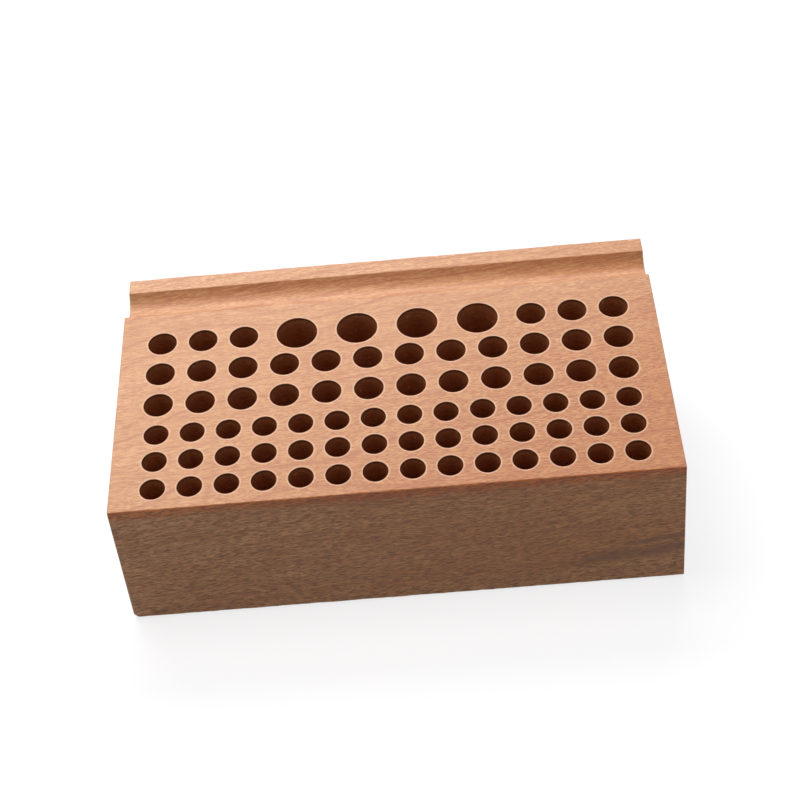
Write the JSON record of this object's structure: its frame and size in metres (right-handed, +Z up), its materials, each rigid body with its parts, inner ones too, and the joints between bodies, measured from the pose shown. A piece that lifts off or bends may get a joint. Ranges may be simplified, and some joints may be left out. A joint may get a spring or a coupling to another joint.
{
  "type": "tool storage caddy",
  "caption": "Wedge-shaped wooden block with a sloped top drilled in rows of round holes to stand hand tools in, and a groove along its back edge.",
  "frame": {"origin": "on the table, under the middle of the block", "axes": "+X along the block, +Y from its low front to its high back, +Z up"},
  "size_m": [0.225, 0.13, 0.0806],
  "materials": {
    "beech": "steamed beech, sanded smooth, bare or with a thin matt oil",
    "rubber": "matt anti-slip pads"
  },
  "bodies": {
    "root": {"tool_block": "beech", "foot_front_left": "rubber", "foot_front_right": "rubber", "foot_rear_left": "rubber", "foot_rear_right": "rubber"}
  },
  "joints": []
}
